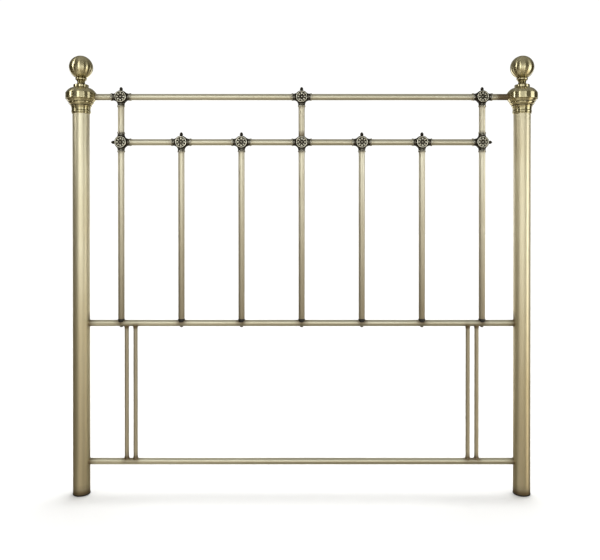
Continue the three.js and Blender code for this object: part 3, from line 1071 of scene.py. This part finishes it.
def softbox(name, x, y, aim, width, radiance, fades, low=-0.8, high=3.1):
    """An upright panel at (x, y), turned to face aim, whose light changes with height."""
    data, light = panel(name, width, high - low, radiance)
    data.use_nodes = True
    tree = data.node_tree
    place = tree.nodes.new("ShaderNodeNewGeometry")
    split = tree.nodes.new("ShaderNodeSeparateXYZ")
    tree.links.new(place.outputs["Position"], split.inputs[0])
    height = tree.nodes.new("ShaderNodeMapRange")
    height.inputs["From Min"].default_value = PANEL_LOW
    height.inputs["From Max"].default_value = PANEL_HIGH
    tree.links.new(split.outputs["Z"], height.inputs["Value"])
    fall = tree.nodes.new("ShaderNodeValToRGB")
    tree.links.new(height.outputs["Result"], fall.inputs["Fac"])
    colour_stops(fall.color_ramp, [
        ((z - PANEL_LOW) / (PANEL_HIGH - PANEL_LOW), colour) for z, colour in fades])
    tree.links.new(fall.outputs["Color"], tree.nodes["Emission"].inputs["Color"])
    light.location = (x, y, (low + high) / 2)
    facing = Vector((aim[0] - x, aim[1] - y, 0))
    light.rotation_mode = "QUATERNION"
    light.rotation_quaternion = facing.to_track_quat("-Z", "Y")


def low_panel(name, x, y, z, width, depth, radiance):
    """A level panel facing up from below the floor, which is hidden from reflections."""
    data, light = panel(name, width, depth, radiance)
    data.color = (1.0, 0.97, 0.88)
    light.location = (x, y, z)
    light.rotation_euler = (math.pi, 0, 0)


def colour_stops(ramp, stops):
    """Sets a colour ramp's stops: (place from 0 to 1, colour)."""
    while len(ramp.elements) < len(stops):
        ramp.elements.new(0.5)
    for element, (place, colour) in zip(ramp.elements, stops):
        element.position = place
        element.color = (*colour, 1)


def overhead_light():
    """Even soft light from above for the paper floor and the plastics."""
    data = bpy.data.lights.new("overhead", "SUN")
    data.energy = 2.5
    data.angle = math.radians(50)
    light = loose("overhead", data)
    light.rotation_euler = (math.radians(-16), math.radians(8), 0)
    light.visible_glossy = False


# What the metal sees of the room, from straight down (0) to straight up (1).
ROOM_STOPS = [
    (0.0, (0.34, 0.32, 0.26)), (0.12, (0.30, 0.27, 0.21)), (0.30, (0.11, 0.09, 0.055)),
    (0.42, (0.07, 0.056, 0.032)), (0.5, (0.065, 0.056, 0.03)), (0.66, (0.085, 0.078, 0.05)),
    (0.84, (0.22, 0.215, 0.19)), (1.0, (0.40, 0.40, 0.38))]


def studio_world():
    """White behind the object for the camera, even light for paper and plastic, and a dim
    warm room for the metal to mirror."""
    world = bpy.data.worlds.new("studio")
    bpy.context.scene.world = world
    world.use_nodes = True
    tree = world.node_tree
    tree.nodes.clear()
    place = tree.nodes.new("ShaderNodeTexCoord")
    split = tree.nodes.new("ShaderNodeSeparateXYZ")
    tree.links.new(place.outputs["Generated"], split.inputs[0])
    height = tree.nodes.new("ShaderNodeMapRange")
    height.inputs["From Min"].default_value = -1
    tree.links.new(split.outputs["Z"], height.inputs["Value"])
    ramp = tree.nodes.new("ShaderNodeValToRGB")
    tree.links.new(height.outputs["Result"], ramp.inputs["Fac"])
    colour_stops(ramp.color_ramp, ROOM_STOPS)
    room = tree.nodes.new("ShaderNodeBackground")
    tree.links.new(ramp.outputs["Color"], room.inputs["Color"])
    path = tree.nodes.new("ShaderNodeLightPath")
    shown = room.outputs[0]
    for ray, colour, strength in (
            ("Is Diffuse Ray", (1, 1, 0.985, 1), 0.56), ("Is Camera Ray", (1, 1, 0.99, 1), 1.05)):
        plain = tree.nodes.new("ShaderNodeBackground")
        plain.inputs["Color"].default_value = colour
        plain.inputs["Strength"].default_value = strength
        choose = tree.nodes.new("ShaderNodeMixShader")
        tree.links.new(path.outputs[ray], choose.inputs["Fac"])
        tree.links.new(shown, choose.inputs[1])
        tree.links.new(plain.outputs[0], choose.inputs[2])
        shown = choose.outputs[0]
    out = tree.nodes.new("ShaderNodeOutputWorld")
    tree.links.new(shown, out.inputs["Surface"])


studio_floor()
studio_world()
overhead_light()
softbox("key_left", -2.35, -0.72, (-0.7, 0), 0.44, 6.6, HIGH_FADE)
softbox("low_left", -1.62, -2.02, (-0.7, 0), 1.0, 1.15, LEFT_FADE)
softbox("front_left", -0.84, -2.06, (-0.7, 0), 0.50, 2.9, EDGE_FADE)
softbox("front_middle", 0.12, -2.08, (0, 0), 1.35, 2.0, MIDDLE_FADE)
softbox("front_right", 0.97, -2.06, (0.7, 0), 0.34, 3.4, CORNER_FADE)
softbox("low_right", 1.75, -2.0, (0.7, 0), 0.9, 0.45, RIGHT_FADE)
softbox("side_right", 2.22, -0.78, (0.5, 0), 0.95, 3.0, SIDE_FADE)
low_panel("bounce_left", -1.45, -1.15, -1.25, 1.9, 1.5, 0.6)
softbox("back_left", -0.70, 2.6, (-0.2, 0), 1.0, 2.3, GENTLE_FADE)
softbox("back_right", 0.85, 2.6, (0.2, 0), 0.8, 1.7, GENTLE_FADE)
softbox("back_far_left", -2.4, 1.6, (-0.5, 0), 0.6, 1.5, GENTLE_FADE)
softbox("back_far_right", 2.4, 1.6, (0.5, 0), 0.6, 1.6, GENTLE_FADE)

# The photograph's view: square on, from about two thirds of the way up the headboard.
camera_data = bpy.data.cameras.new("camera")
camera = loose("camera", camera_data)
camera_data.lens = 39.03
camera_data.sensor_width = 36.0
camera_data.shift_y = -0.1023
camera.location = (-0.005, -2.002, 0.856)
camera.rotation_euler = (math.radians(90 - 0.25), 0, 0)
bpy.context.scene.camera = camera
bpy.context.scene.view_settings.view_transform = "Standard"
bpy.context.scene.view_settings.look = "None"
